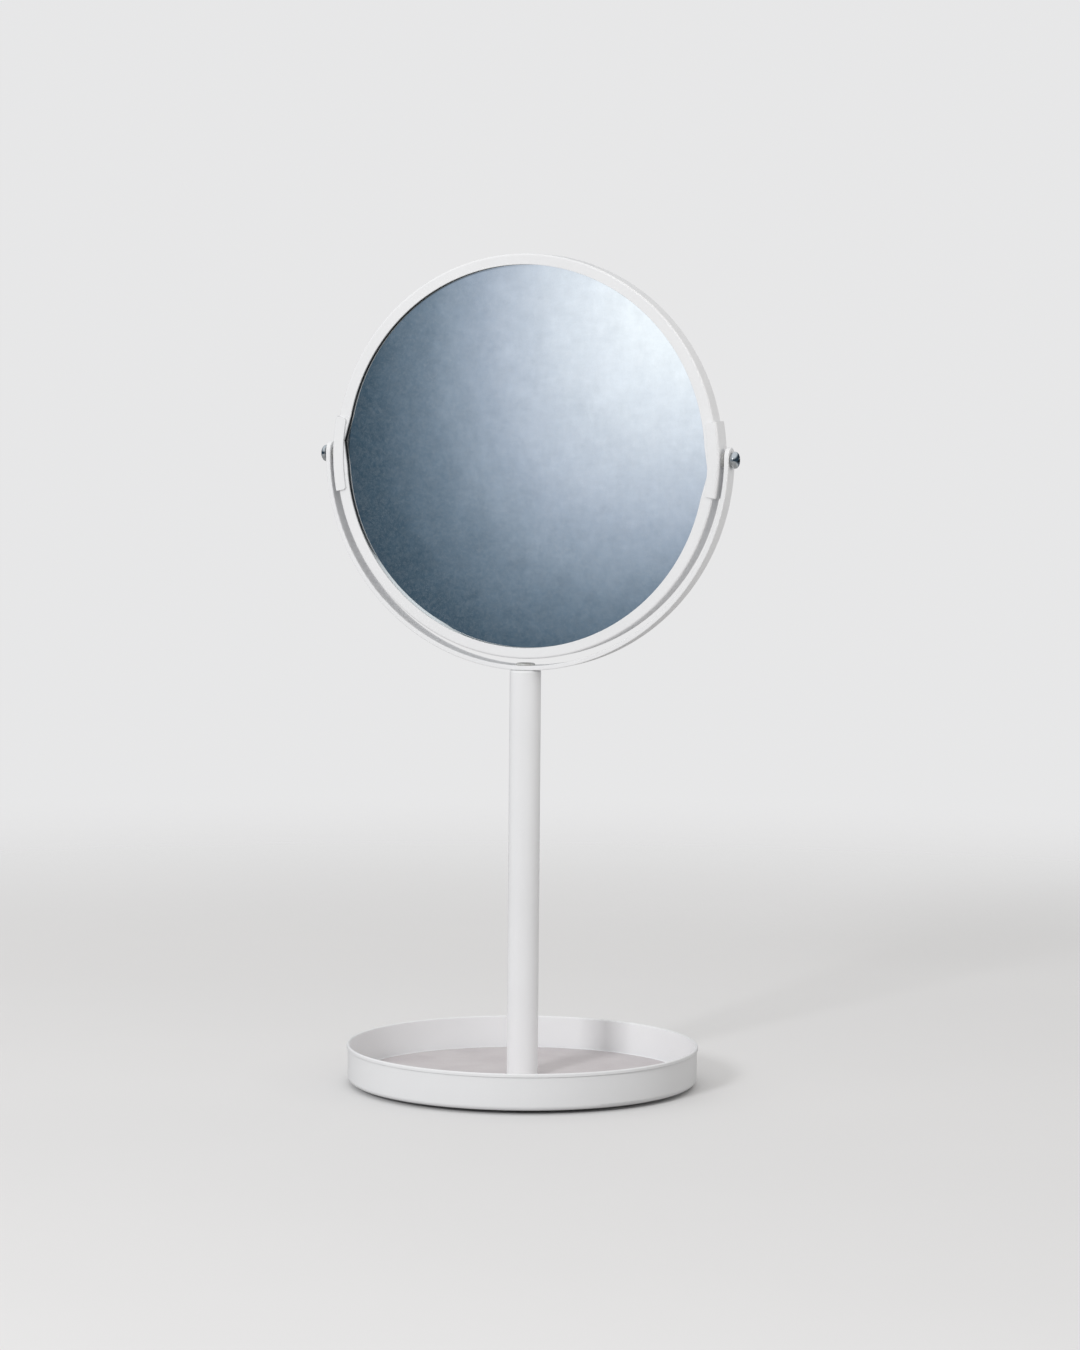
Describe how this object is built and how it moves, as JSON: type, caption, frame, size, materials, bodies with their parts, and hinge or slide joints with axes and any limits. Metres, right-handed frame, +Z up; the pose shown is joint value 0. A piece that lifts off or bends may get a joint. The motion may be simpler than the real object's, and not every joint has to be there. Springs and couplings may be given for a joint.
{
  "type": "tabletop swivel mirror",
  "caption": "Double-sided round mirror that swivels in a half-round strip yoke on a thin post, which stands in a shallow round tray.",
  "frame": {"origin": "centre of the foot pad's underside, on the surface the tray stands on, under the post", "axes": "+Z up along the post, the pivot axis along X, the flat mirror faces -Y at rest and the magnifying mirror +Y"},
  "size_m": [0.1872, 0.15, 0.3528],
  "materials": {
    "white_coat": "fine satin powder coat",
    "mirror_glass": "silvered glass",
    "mat_felt": "thin pressed felt",
    "pad_rubber": "matt foam rubber",
    "bright_chrome": "bright plated",
    "zinc_steel": "zinc plated",
    "washer_nylon": "natural nylon",
    "grey_card": "grey board",
    "spacer_plastic": "extruded strip"
  },
  "bodies": {
    "stand": {"base_tray": "white_coat", "tray_mat": "mat_felt", "foot_pad": "pad_rubber", "base_screw": "zinc_steel", "post": "white_coat", "post_plug_lower": "zinc_steel", "post_plug_upper": "zinc_steel", "yoke": "white_coat", "yoke_screw": "zinc_steel"},
    "mirror_head": {"frame_half_upper": "white_coat", "frame_half_lower": "white_coat", "front_mirror": "mirror_glass", "rear_mirror": "mirror_glass", "backing_board": "grey_card", "spacer_strip_upper": "spacer_plastic", "spacer_strip_lower": "spacer_plastic", "pivot_clip_left": "white_coat", "rivet_nut_left": "zinc_steel", "friction_washer_left": "washer_nylon", "spring_washer_left": "bright_chrome", "pivot_screw_left": "bright_chrome", "pivot_clip_right": "white_coat", "rivet_nut_right": "zinc_steel", "friction_washer_right": "washer_nylon", "spring_washer_right": "bright_chrome", "pivot_screw_right": "bright_chrome"}
  },
  "joints": [
    {"name": "mirror_tilt", "type": "hinge", "parent": "stand", "child": "mirror_head", "pos_m": [0, 0, 0.2675], "axis": [1, 0, 0], "continuous": true}
  ]
}
